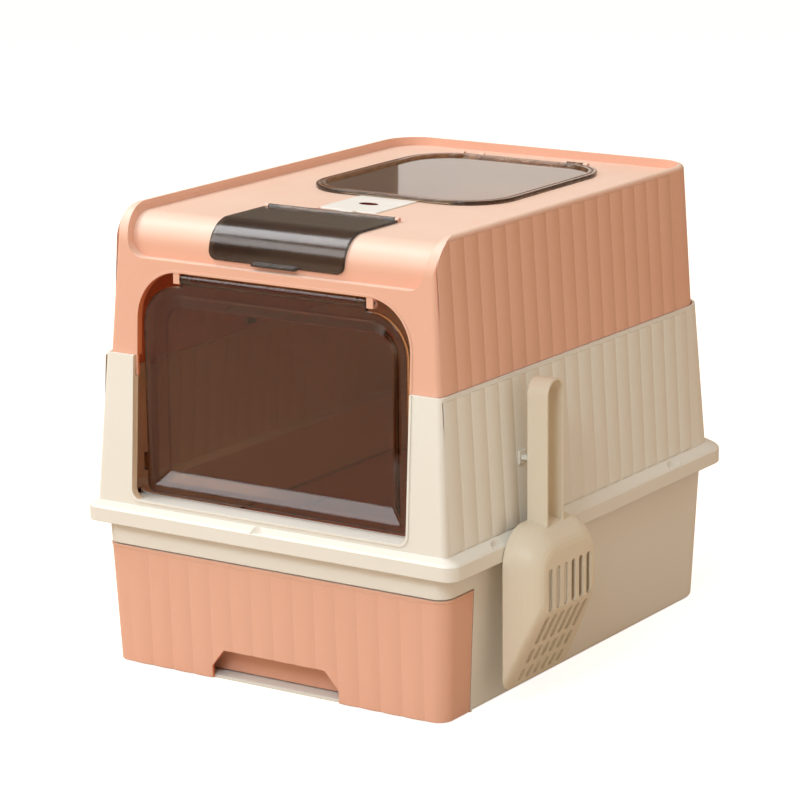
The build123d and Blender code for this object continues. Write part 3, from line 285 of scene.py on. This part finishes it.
class SurfaceGroups:
    """The surface effects that several finishes share, each a node group that is built once."""

    NUMBER = "NodeSocketFloat"
    VECTOR = "NodeSocketVector"

    def __init__(self) -> None:
        """Builds the groups."""
        self.grain = self._grain()
        self.tone = self._tone()
        self.wear_and_rim_shade = self._wear_and_rim_shade()
        self.painted_top_light = self._painted_top_light()
        self.inward = self._inward()
        self.flutes = self._flutes()
        self.painted_hole_shade = self._painted_hole_shade()

    @staticmethod
    def _group(
        name: str, inputs: dict[str, float], outputs: dict[str, str]
    ) -> tuple[Graph, Node, Node]:
        """Starts a group.

        Args:
            name: the group's name.
            inputs: each input's name and first value.
            outputs: each output's name and socket type.

        Returns:
            The group's graph, its input node and its output node.
        """
        tree = bpy.data.node_groups.new(name, "ShaderNodeTree")
        for label, value in inputs.items():
            socket = tree.interface.new_socket(
                label, in_out="INPUT", socket_type=SurfaceGroups.NUMBER
            )
            socket.default_value = value
        for label, kind in outputs.items():
            tree.interface.new_socket(label, in_out="OUTPUT", socket_type=kind)
        graph = Graph(tree)
        return graph, graph.node("NodeGroupInput"), graph.node("NodeGroupOutput")

    def _grain(self) -> NodeTree:
        """Returns the fine spark-eroded grain of a mould, as a height and a mask."""
        inputs = {"Scale": GRAIN_SCALE, "Cells": 0.5, "Patches": 0.6}
        outputs = {"Height": self.NUMBER, "Mask": self.NUMBER}
        graph, given, result = self._group("mould_grain", inputs, outputs)
        place = graph.place()
        cells = graph.noise(place, Scale=given.outputs["Scale"], Detail=3.0, Roughness=0.6)
        patches = graph.noise(place, Scale=14.0, Detail=2.0, Roughness=0.5)
        mask = graph.math(
            "ADD",
            graph.times(cells, given.outputs["Cells"]),
            graph.times(patches, given.outputs["Patches"]),
        )
        graph.put(result, Height=cells, Mask=mask)
        return graph.tree

    def _tone(self) -> NodeTree:
        """Returns the slow unevenness of a moulded colour."""
        graph, given, result = self._group("moulded_tone", {"Scale": 5.0}, {"Cloud": self.NUMBER})
        cloud = graph.noise(
            graph.place(), Scale=given.outputs["Scale"], Detail=2.0, Roughness=0.45
        )
        graph.put(result, Cloud=graph.ramp(cloud, low=0.3, high=0.7))
        return graph.tree

    def _wear_and_rim_shade(self) -> NodeTree:
        """Returns a mask of edges, laid on as worn edges and, on the clear panels, as painted dark
        rims, and a normal that rounds them.
        """
        inputs = {"Radius": 0.0008, "Amount": 1.0}
        outputs = {"Mask": self.NUMBER, "Normal": self.VECTOR}
        graph, given, result = self._group("edge_wear", inputs, outputs)
        rounded = graph.node("ShaderNodeBevel", samples=4)
        graph.put(rounded, Radius=given.outputs["Radius"])
        turn = graph.dot(rounded.outputs[0], graph.facing())
        broken = graph.noise(graph.place(), Scale=120.0, Detail=4.0, Roughness=0.7)
        edge = graph.ramp(turn, low=1.0, high=0.82)
        patchy = graph.times(edge, graph.ramp(broken, low=0.35, high=0.7))
        mask = graph.times(patchy, given.outputs["Amount"], clamp=True)
        graph.put(result, Mask=mask, Normal=rounded.outputs[0])
        return graph.tree

    def _painted_top_light(self) -> NodeTree:
        """Returns the painted top light: a paler colour where a surface looks up, in a fine cloud.
        """
        outputs = {"Mask": self.NUMBER}
        graph, given, result = self._group("painted_top_light_mask", {"Amount": 0.5}, outputs)
        look = graph.split(graph.facing())
        cloud = graph.noise(graph.place(), Scale=22.0, Detail=5.0, Roughness=0.6)
        upward = graph.ramp(look.outputs["Z"], low=0.0, high=0.85)
        patchy = graph.times(upward, graph.ramp(cloud, low=0.2, high=0.8, start=0.8, end=1.0))
        graph.put(result, Mask=graph.times(patchy, given.outputs["Amount"], clamp=True))
        return graph.tree

    def _inward(self) -> NodeTree:
        """Returns the mask of faces below a height that look towards the middle of the box, where
        shade is painted.
        """
        outputs = {"Mask": self.NUMBER}
        graph, given, result = self._group("inward_faces", {"Top": PAINTED_SHADE_TOP}, outputs)
        place = graph.place()
        outward = graph.node("ShaderNodeVectorMath", operation="MULTIPLY")
        graph.feed(outward.inputs[0], place)
        graph.feed(outward.inputs[1], (1.0, 1.0, 0.0))
        inside = graph.ramp(graph.dot(outward.outputs[0], graph.facing()), low=-0.01, high=-0.06)
        below = graph.math("LESS_THAN", graph.split(place).outputs["Z"], given.outputs["Top"])
        graph.put(result, Mask=graph.times(inside, below))
        return graph.tree

    def _flutes(self) -> NodeTree:
        """Returns the height that deepens a row of moulded flutes, each an arc across the wall."""
        inputs = {
            "Start": 0.0,
            "End": 0.0,
            "Low": 0.0,
            "High": 0.0,
            "Pitch": FLUTE_PITCH,
            "Across": 0.0,
            "Square": 0.9,
        }
        graph, given, result = self._group("flute_height", inputs, {"Height": self.NUMBER})
        spot = graph.split(graph.place())
        look = graph.split(graph.facing())
        across = given.outputs["Across"]
        run = graph.mix(across, spot.outputs["Y"], spot.outputs["X"])
        turn = graph.mix(across, look.outputs["X"], look.outputs["Y"])
        along = graph.math("SUBTRACT", run, given.outputs["Start"])
        part = graph.math("FRACT", graph.math("DIVIDE", along, given.outputs["Pitch"]), 0.0)
        # The arc is 4p(1 - p), which is 0 at a flute's edges and 1 at its middle.
        arc = graph.times(part, graph.math("SUBTRACT", 4.0, graph.times(part, 4.0)))
        after = graph.math("GREATER_THAN", run, given.outputs["Start"])
        before = graph.math("LESS_THAN", run, given.outputs["End"])
        above = graph.math("GREATER_THAN", spot.outputs["Z"], given.outputs["Low"])
        below = graph.math("LESS_THAN", spot.outputs["Z"], given.outputs["High"])
        faced = graph.math("ABSOLUTE", turn, 0.0)
        square = graph.math("GREATER_THAN", faced, given.outputs["Square"])
        zone = graph.times(graph.times(after, before), graph.times(above, below))
        graph.put(result, Height=graph.times(arc, graph.times(zone, square)))
        return graph.tree

    def _painted_hole_shade(self) -> NodeTree:
        """Returns the mask of an upright oval, the latch's finger hole, where shade is painted."""
        inputs = {"Centre": -0.0813, "Across": 0.0104, "Along": 0.0059}
        graph, given, result = self._group("oval_hole_shade", inputs, {"Mask": self.NUMBER})
        spot = graph.split(graph.place())
        across = graph.math("DIVIDE", spot.outputs["X"], given.outputs["Across"])
        ahead = graph.math("SUBTRACT", spot.outputs["Y"], given.outputs["Centre"])
        along = graph.math("DIVIDE", ahead, given.outputs["Along"])
        reach = graph.math("ADD", graph.times(across, across), graph.times(along, along))
        graph.put(result, Mask=graph.math("LESS_THAN", reach, 1.0))
        return graph.tree


def start_material(name: str) -> tuple[Material, Graph, Node]:
    """Starts a material.

    Args:
        name: the material's name.

    Returns:
        The material, its graph and its surface shader.
    """
    material = bpy.data.materials.new(name)
    material.use_nodes = True
    return material, Graph(material.node_tree), material.node_tree.nodes["Principled BSDF"]


@dataclass(frozen=True)
class FluteRow:
    """A row of upright flutes on one wall, in metres."""

    start: float
    count: int
    low: float
    high: float
    across: bool = False
    pitch: float = FLUTE_PITCH
    depth: float = 0.0009


@dataclass(frozen=True)
class MouldedPlastic:
    """An opaque moulded plastic with a fine grain, slow colour unevenness and rubbed edges."""

    name: str
    body: Colour
    shade: Colour
    rubbed: Colour
    roughness: float = 0.42
    smoother: float = 0.05
    rougher: float = 0.07
    cloudiness: float = 0.35
    grain_scale: float = GRAIN_SCALE
    grain_strength: float = 0.06
    grain_depth: float = 0.0004
    edge_radius: float = 0.0009
    edge_wear: float = 0.5
    coat: float = 0.0
    coat_roughness: float = 0.18
    scatter: float = 0.0
    scatter_radius: tuple[float, float, float] = (0.006, 0.004, 0.003)
    scatter_scale: float = 0.5
    refraction: float = 1.47
    # Painted top light: a paler colour laid where a surface looks up, and how much of it.
    pale: Colour = Colour(250, 232, 222)
    painted_top_light: float = 0.0
    # Painted shade inside the box: a darker, warmer colour for faces that look inwards, up to a
    # height.
    painted_inner_shade: Colour | None = None
    painted_shade_top: float = PAINTED_SHADE_TOP
    flute: FluteRow | None = None
    # Painted shade in the latch's finger hole.
    painted_hole_shade: Colour | None = None

    def build(self, groups: SurfaceGroups) -> Material:
        """Makes the material.

        Args:
            groups: the shared surface effects.

        Returns:
            The material.
        """
        material, graph, shader = start_material(self.name)
        grain = graph.group(groups.grain, Scale=self.grain_scale)
        wear_and_rim_shade = graph.group(groups.wear_and_rim_shade, Radius=self.edge_radius, Amount=self.edge_wear)
        normal = wear_and_rim_shade.outputs["Normal"]
        if self.flute:
            normal = self._fluted(graph, groups, normal)
        normal = graph.bump(
            Strength=self.grain_strength,
            Distance=self.grain_depth,
            Height=grain.outputs["Height"],
            Normal=normal,
        )
        rough = graph.ramp(
            grain.outputs["Mask"],
            low=0.3,
            high=0.8,
            start=self.roughness - self.smoother,
            end=self.roughness + self.rougher,
        )
        graph.put(
            shader,
            Base_Color=self._colour(graph, groups, wear_and_rim_shade.outputs["Mask"]),
            Roughness=rough,
            Normal=normal,
            IOR=self.refraction,
            Coat_Weight=self.coat,
            Coat_Roughness=self.coat_roughness,
        )
        if self.scatter:
            graph.put(
                shader,
                Subsurface_Weight=self.scatter,
                Subsurface_Radius=self.scatter_radius,
                Subsurface_Scale=self.scatter_scale,
            )
        return material

    def _colour(self, graph: Graph, groups: SurfaceGroups, worn: Socket) -> Socket:
        """Lays the colours over one another.

        Args:
            graph: the material's graph.
            groups: the shared surface effects.
            worn: the mask of worn edges.

        Returns:
            The surface's colour.
        """
        cloud = graph.times(graph.group(groups.tone).outputs["Cloud"], self.cloudiness)
        layers = [
            (cloud, self.shade),
            # Painted top light, a paler colour where the surface looks up.
            (graph.group(groups.painted_top_light, Amount=self.painted_top_light).outputs["Mask"], self.pale),
            (worn, self.rubbed),
        ]
        # Painted shade on the faces inside the box.
        if self.painted_inner_shade:
            inward = graph.group(groups.inward, Top=self.painted_shade_top)
            layers.append((inward.outputs["Mask"], self.painted_inner_shade))
        # Painted shade in the latch's finger hole.
        if self.painted_hole_shade:
            layers.append((graph.group(groups.painted_hole_shade).outputs["Mask"], self.painted_hole_shade))
        laid = self.body.linear()
        for mask, colour in layers:
            laid = graph.blend(mask, laid, colour.linear())
        return laid

    def _fluted(self, graph: Graph, groups: SurfaceGroups, normal: Socket) -> Socket:
        """Deepens the wall's flutes.

        Args:
            graph: the material's graph.
            groups: the shared surface effects.
            normal: the normal before the flutes.

        Returns:
            The normal with the flutes.
        """
        row = self.flute
        flutes = graph.group(
            groups.flutes,
            Start=row.start,
            End=row.start + row.count * row.pitch,
            Low=row.low,
            High=row.high,
            Pitch=row.pitch,
            Across=float(row.across),
        )
        return graph.bump(
            Strength=1.0, Distance=row.depth, Height=flutes.outputs["Height"], Normal=normal
        )


@dataclass(frozen=True)
class SmokedClear:
    """A see-through smoke-brown plastic, polished, with faint wipe marks and painted shade on its
    edges.
    """

    name: str
    tint: Colour
    shadow_pass: float = 0.78
    roughness: float = 0.03
    rougher: float = 0.05
    cloud: Colour = Colour(120, 84, 60)
    cloud_scale: float = 9.0
    cloudiness: float = 0.08
    wipe_scale: float = 40.0
    wipe_strength: float = 0.02
    wipe_depth: float = 0.0005
    edge_radius: float = 0.0026
    # Painted shade: a near-black colour for the panel's edges, and how strongly it is laid.
    edge: Colour = Colour(24, 15, 10)
    rim_shade_strength: float = 3.0
    refraction: float = 1.49

    def build(self, groups: SurfaceGroups) -> Material:
        """Makes the material.

        Args:
            groups: the shared surface effects.

        Returns:
            The material.
        """
        material, graph, shader = start_material(self.name)
        wipes = graph.group(groups.grain, Scale=self.wipe_scale)
        tone = graph.group(groups.tone, Scale=self.cloud_scale)
        wear_and_rim_shade = graph.group(groups.wear_and_rim_shade, Radius=self.edge_radius, Amount=1.0)
        cloud = graph.times(tone.outputs["Cloud"], self.cloudiness)
        tint = graph.blend(cloud, self.tint.linear(), self.cloud.linear())
        # Painted shade darkens the edges towards near-black.
        edge = graph.times(wear_and_rim_shade.outputs["Mask"], self.rim_shade_strength, clamp=True)
        tint = graph.blend(edge, tint, self.edge.linear())
        rough = graph.ramp(
            wipes.outputs["Mask"],
            low=0.45,
            high=0.9,
            start=self.roughness,
            end=self.roughness + self.rougher,
        )
        normal = graph.bump(
            Strength=self.wipe_strength,
            Distance=self.wipe_depth,
            Height=wipes.outputs["Height"],
            Normal=wear_and_rim_shade.outputs["Normal"],
        )
        # Light for a shadow passes in part, so that what is behind the panel is not black.
        shadow = graph.node("ShaderNodeLightPath").outputs["Is Shadow Ray"]
        solid = graph.math("SUBTRACT", 1.0, graph.times(shadow, self.shadow_pass))
        graph.put(
            shader,
            Base_Color=tint,
            Roughness=rough,
            Normal=normal,
            Alpha=solid,
            IOR=self.refraction,
            Transmission_Weight=1.0,
        )
        return material


@dataclass(frozen=True)
class DrawnSteel:
    """Plain drawn wire, as hinge pins are cut from."""

    name: str
    body: Colour
    shade: Colour = Colour(120, 116, 112)
    stretch: tuple[float, float, float] = (40.0, 2500.0, 2500.0)
    smoothest: float = 0.25
    roughest: float = 0.5
    line_strength: float = 0.1
    line_depth: float = 0.0001

    def build(self, groups: SurfaceGroups) -> Material:
        """Makes the material.

        Args:
            groups: the shared surface effects.

        Returns:
            The material.
        """
        material, graph, shader = start_material(self.name)
        stretched = graph.node("ShaderNodeMapping")
        graph.put(stretched, Vector=graph.place(), Scale=self.stretch)
        lines = graph.noise(stretched.outputs[0], Scale=1.0, Detail=3.0)
        cloud = graph.group(groups.tone).outputs["Cloud"]
        graph.put(
            shader,
            Base_Color=graph.blend(cloud, self.body.linear(), self.shade.linear()),
            Roughness=graph.ramp(
                lines, low=0.3, high=0.7, start=self.smoothest, end=self.roughest
            ),
            Normal=graph.bump(Strength=self.line_strength, Distance=self.line_depth, Height=lines),
            Metallic=1.0,
        )
        return material


FINISHES = {
    Slot.WHITE_SHELL: MouldedPlastic(
        "white_shell",
        Colour(237, 234, 226),
        Colour(232, 227, 217),
        Colour(246, 244, 239),
        roughness=0.44,
        # Painted top light where the shell looks up.
        pale=Colour(247, 247, 243),
        painted_top_light=0.6,
        # Painted shade inside the box, warmer than the shell.
        painted_inner_shade=Colour(236, 208, 178),
    ),
    Slot.PINK_SHELL: MouldedPlastic(
        "pink_shell",
        Colour(235, 182, 158),
        Colour(230, 174, 148),
        Colour(243, 200, 180),
        roughness=0.42,
        # Painted top light where the shell looks up.
        pale=Colour(247, 221, 206),
        painted_top_light=0.8,
        # Painted shade inside the box, a deep orange.
        painted_inner_shade=Colour(232, 128, 82),
    ),
    Slot.TRAY_INNER: MouldedPlastic(
        "tray_inner",
        Colour(229, 168, 140),
        Colour(222, 158, 130),
        Colour(238, 186, 162),
        roughness=0.40,
    ),
    Slot.CREAM_SCOOP: MouldedPlastic(
        "cream_scoop",
        Colour(233, 223, 204),
        Colour(226, 214, 193),
        Colour(243, 235, 220),
        roughness=0.38,
        scatter=0.08,
    ),
    Slot.SMOKE_CLEAR: SmokedClear("smoke_clear", Colour(160, 112, 74)),
    Slot.DARK_CLIP: MouldedPlastic(
        "dark_clip", Colour(58, 48, 42), Colour(50, 40, 35), Colour(84, 74, 66), roughness=0.38
    ),
    Slot.PIN_STEEL: DrawnSteel("pin_steel", Colour(190, 188, 184)),
    Slot.WHITE_LATCH: MouldedPlastic(
        "white_latch",
        Colour(250, 250, 248),
        Colour(246, 246, 243),
        Colour(254, 254, 253),
        roughness=0.30,
        coat=0.2,
        # Painted top light on the plate.
        pale=Colour(254, 254, 253),
        painted_top_light=0.8,
        # Painted shade, dark red, in the finger hole.
        painted_hole_shade=Colour(110, 30, 20),
    ),
}


ROOF_FLUTES = FluteRow(start=-0.23794, count=18, low=0.3005, high=0.433)
WALL_FLUTES = FluteRow(start=-0.2466, count=19, low=0.1605, high=0.2965)
DRAWER_FLUTES = FluteRow(start=-0.1638, count=14, low=0.0015, high=0.112, across=True)

# Pieces that look a little different from the rest of their slot.
SPECIAL = {
    "visor_cover": SmokedClear(
        "smoke_clear_lid", Colour(138, 128, 116), shadow_pass=0.3, roughness=0.17
    ),
    "top_hatch": SmokedClear("smoke_clear_hatch", Colour(190, 158, 124), shadow_pass=0.88),
    "top_cover": replace(FINISHES[Slot.PINK_SHELL], name="pink_shell_roof", flute=ROOF_FLUTES),
    "drawer_front": replace(
        FINISHES[Slot.PINK_SHELL], name="pink_shell_drawer", flute=DRAWER_FLUTES
    ),
    "mid_frame": replace(
        FINISHES[Slot.WHITE_SHELL], name="white_shell_middle", flute=WALL_FLUTES
    ),
}


class FinishShelf:
    """Holds each finish's material once it is made."""

    def __init__(self) -> None:
        """Builds the shared effects and every finish."""
        groups = SurfaceGroups()
        self.made = {slot: finish.build(groups) for slot, finish in FINISHES.items()}
        self.special = {node: finish.build(groups) for node, finish in SPECIAL.items()}

    def dress(self, node: str, slot: Slot) -> None:
        """Gives a piece its finish.

        Args:
            node: the piece's name.
            slot: the finish.
        """
        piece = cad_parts[node]
        material = self.special.get(node, self.made[slot])
        for holder in piece.material_slots:
            holder.material = material
        log.info("%s finished as %s", node, slot.value)


@dataclass
class SubAssembly:
    """A group of pieces and the finish that each one has."""

    pieces: dict[str, Slot] = field(default_factory=dict)

    def dress(self, shelf: FinishShelf) -> None:
        """Finishes each piece.

        Args:
            shelf: the made finishes.
        """
        for node, slot in self.pieces.items():
            shelf.dress(node, slot)


@dataclass
class Tub(SubAssembly):
    """The outer tub that stands on the floor."""

    pieces: dict[str, Slot] = field(default_factory=lambda: {"base_tub": Slot.WHITE_SHELL})


@dataclass
class Drawer(SubAssembly):
    """The pull-out litter tray and its fluted front."""

    pieces: dict[str, Slot] = field(
        default_factory=lambda: {
            "drawer_tray": Slot.TRAY_INNER,
            "drawer_front": Slot.PINK_SHELL,
        }
    )


@dataclass
class MiddleFrame(SubAssembly):
    """The white upper wall and the hook for the scoop."""

    pieces: dict[str, Slot] = field(
        default_factory=lambda: {
            "mid_frame": Slot.WHITE_SHELL,
            "scoop_hook": Slot.WHITE_SHELL,
        }
    )


@dataclass
class Roof(SubAssembly):
    """The roof, its catches, the bin below the lid, and the hinge pins."""

    pieces: dict[str, Slot] = field(
        default_factory=lambda: {
            "top_cover": Slot.PINK_SHELL,
            "cover_catches": Slot.DARK_CLIP,
            "storage_bin": Slot.PINK_SHELL,
            "door_hinge_pins": Slot.PIN_STEEL,
            "visor_hinge_pins": Slot.PIN_STEEL,
            "hatch_hinge_pins": Slot.PIN_STEEL,
        }
    )


@dataclass
class ClearPanels(SubAssembly):
    """The front door, the storage lid and the top hatch."""

    pieces: dict[str, Slot] = field(
        default_factory=lambda: {
            "front_door": Slot.SMOKE_CLEAR,
            "visor_cover": Slot.SMOKE_CLEAR,
            "top_hatch": Slot.SMOKE_CLEAR,
        }
    )


@dataclass
class SlideCatch(SubAssembly):
    """The plate that holds the hatch, and its keeper."""

    pieces: dict[str, Slot] = field(
        default_factory=lambda: {
            "hatch_latch": Slot.WHITE_LATCH,
            "latch_keeper": Slot.WHITE_LATCH,
        }
    )


@dataclass
class HangingScoop(SubAssembly):
    """The slotted scoop on the side wall."""

    pieces: dict[str, Slot] = field(default_factory=lambda: {"scoop": Slot.CREAM_SCOOP})


@dataclass(frozen=True)
class PhotoCamera:
    """The camera at the photograph's viewing angle, in degrees, metres and millimetres."""

    azimuth: float = 33.33
    elevation: float = 13.615
    roll: float = -0.523
    position: tuple[float, float, float] = (1.68436, -2.59259, 0.97427)
    lens: float = 148.244
    sensor: float = 36.0
    farthest: float = 100.0

    def build(self) -> bpy.types.Object:
        """Makes the camera and sets it as the scene's.

        Returns:
            The camera.
        """
        turn, lift, roll = (radians(a) for a in (self.azimuth, self.elevation, self.roll))
        back = Vector((sin(turn) * cos(lift), -cos(turn) * cos(lift), sin(lift)))
        level = Vector((cos(turn), sin(turn), 0.0))
        upright = back.cross(level)
        across = level * cos(roll) + upright * sin(roll)
        above = upright * cos(roll) - level * sin(roll)
        lens = bpy.data.cameras.new("photo_camera")
        lens.lens = self.lens
        lens.sensor_width = self.sensor
        lens.clip_end = self.farthest
        camera = bpy.data.objects.new("photo_camera", lens)
        turned = Matrix((across, above, back)).transposed().to_4x4()
        camera.matrix_world = Matrix.Translation(Vector(self.position)) @ turned
        bpy.context.scene.collection.objects.link(camera)
        bpy.context.scene.camera = camera
        return camera


@dataclass(frozen=True)
class SoftBox:
    """One soft lamp."""

    name: str
    position: tuple[float, float, float]
    target: tuple[float, float, float]
    size: float
    power: float
    colour: tuple[float, float, float]

    def build(self) -> bpy.types.Object:
        """Makes the lamp.

        Returns:
            The lamp.
        """
        lamp = bpy.data.lights.new(self.name, "AREA")
        lamp.shape = "RECTANGLE"
        lamp.size = lamp.size_y = self.size
        lamp.energy = self.power
        lamp.color = self.colour
        holder = bpy.data.objects.new(self.name, lamp)
        aim = Vector(self.target) - Vector(self.position)
        turned = aim.to_track_quat("-Z", "Y").to_matrix().to_4x4()
        holder.matrix_world = Matrix.Translation(Vector(self.position)) @ turned
        bpy.context.scene.collection.objects.link(holder)
        return holder


KEY = SoftBox(
    "key",
    position=(0.67, -2.62, 2.07),
    target=(0.0, 0.0, 0.25),
    size=0.9,
    power=34.0,
    colour=(0.70, 0.89, 1.0),
)
FRONT_LEFT = SoftBox(
    "front_left",
    position=(-1.5, -1.97, 1.81),
    target=(0.0, -0.24, 0.2),
    size=0.9,
    power=12.0,
    colour=(1.0, 1.0, 1.0),
)
REAR_CARD = SoftBox(
    "rear_card",
    position=(-0.81, 1.582, 0.74),
    target=(0.03, 0.08, 0.432),
    size=0.42,
    power=0.45,
    colour=(1.0, 0.98, 0.95),
)
OVERHEAD = SoftBox(
    "overhead",
    position=(-1.6, -0.65, 2.67),
    target=(0.0, -0.2, 0.42),
    size=1.3,
    power=40.0,
    colour=(0.94, 0.97, 1.0),
)


@dataclass(frozen=True)
class Studio:
    """The pale floor, the white surroundings and the soft lamps."""

    floor_size: float = 24.0
    floor_colour: Colour = Colour(214, 198, 180)
    floor_roughness: float = 0.9
    floor_glow: float = 0.80
    fill: float = 0.62
    fill_colour: tuple[float, float, float, float] = (1.0, 0.80, 0.61, 1.0)
    gloss_fill: float = 0.28
    lamps: tuple[SoftBox, ...] = (KEY, FRONT_LEFT, REAR_CARD, OVERHEAD)

    def build(self) -> None:
        """Makes the floor, the surroundings and the lamps."""
        self._floor()
        self._surroundings()
        for lamp in self.lamps:
            lamp.build()

    def _floor(self) -> None:
        """Makes the floor, white to the camera apart from the object's shadow."""
        half = self.floor_size / 2
        corners = [(-half, -half, 0), (half, -half, 0), (half, half, 0), (-half, half, 0)]
        mesh = bpy.data.meshes.new("floor")
        mesh.from_pydata(corners, [], [(0, 1, 2, 3)])
        floor = bpy.data.objects.new("floor", mesh)
        bpy.context.scene.collection.objects.link(floor)
        material, graph, shader = start_material("pale_floor")
        path = graph.node("ShaderNodeLightPath")
        seen = graph.math(
            "MAXIMUM", path.outputs["Is Camera Ray"], path.outputs["Is Transmission Ray"]
        )
        graph.put(
            shader,
            Base_Color=self.floor_colour.linear(),
            Roughness=self.floor_roughness,
            Specular_IOR_Level=0.0,
            Emission_Color=WHITE_LIGHT,
            Emission_Strength=graph.times(seen, self.floor_glow),
        )
        mesh.materials.append(material)

    def _surroundings(self) -> None:
        """Makes the world: white where it is seen, and a soft fill elsewhere."""
        world = bpy.data.worlds.new("surroundings")
        bpy.context.scene.world = world
        world.use_nodes = True
        graph = Graph(world.node_tree)
        path = graph.node("ShaderNodeLightPath")
        seen = path.outputs["Is Camera Ray"]
        unseen = graph.ramp(
            path.outputs["Is Glossy Ray"],
            low=0.0,
            high=1.0,
            start=self.fill,
            end=self.gloss_fill,
        )
        graph.put(
            world.node_tree.nodes["Background"],
            Color=graph.blend(seen, self.fill_colour, WHITE_LIGHT),
            Strength=graph.mix(seen, unseen, 1.0),
        )


def main() -> None:
    """Builds the camera and the studio, then finishes each sub-assembly in order."""
    logging.basicConfig(level=logging.INFO, format="%(name)s %(message)s")
    PhotoCamera().build()
    Studio().build()
    bpy.context.scene.view_settings.view_transform = "Standard"
    shelf = FinishShelf()
    parts = (Tub(), Drawer(), MiddleFrame(), Roof(), ClearPanels(), SlideCatch(), HangingScoop())
    for part in parts:
        part.dress(shelf)


if __name__ == "__main__":
    main()
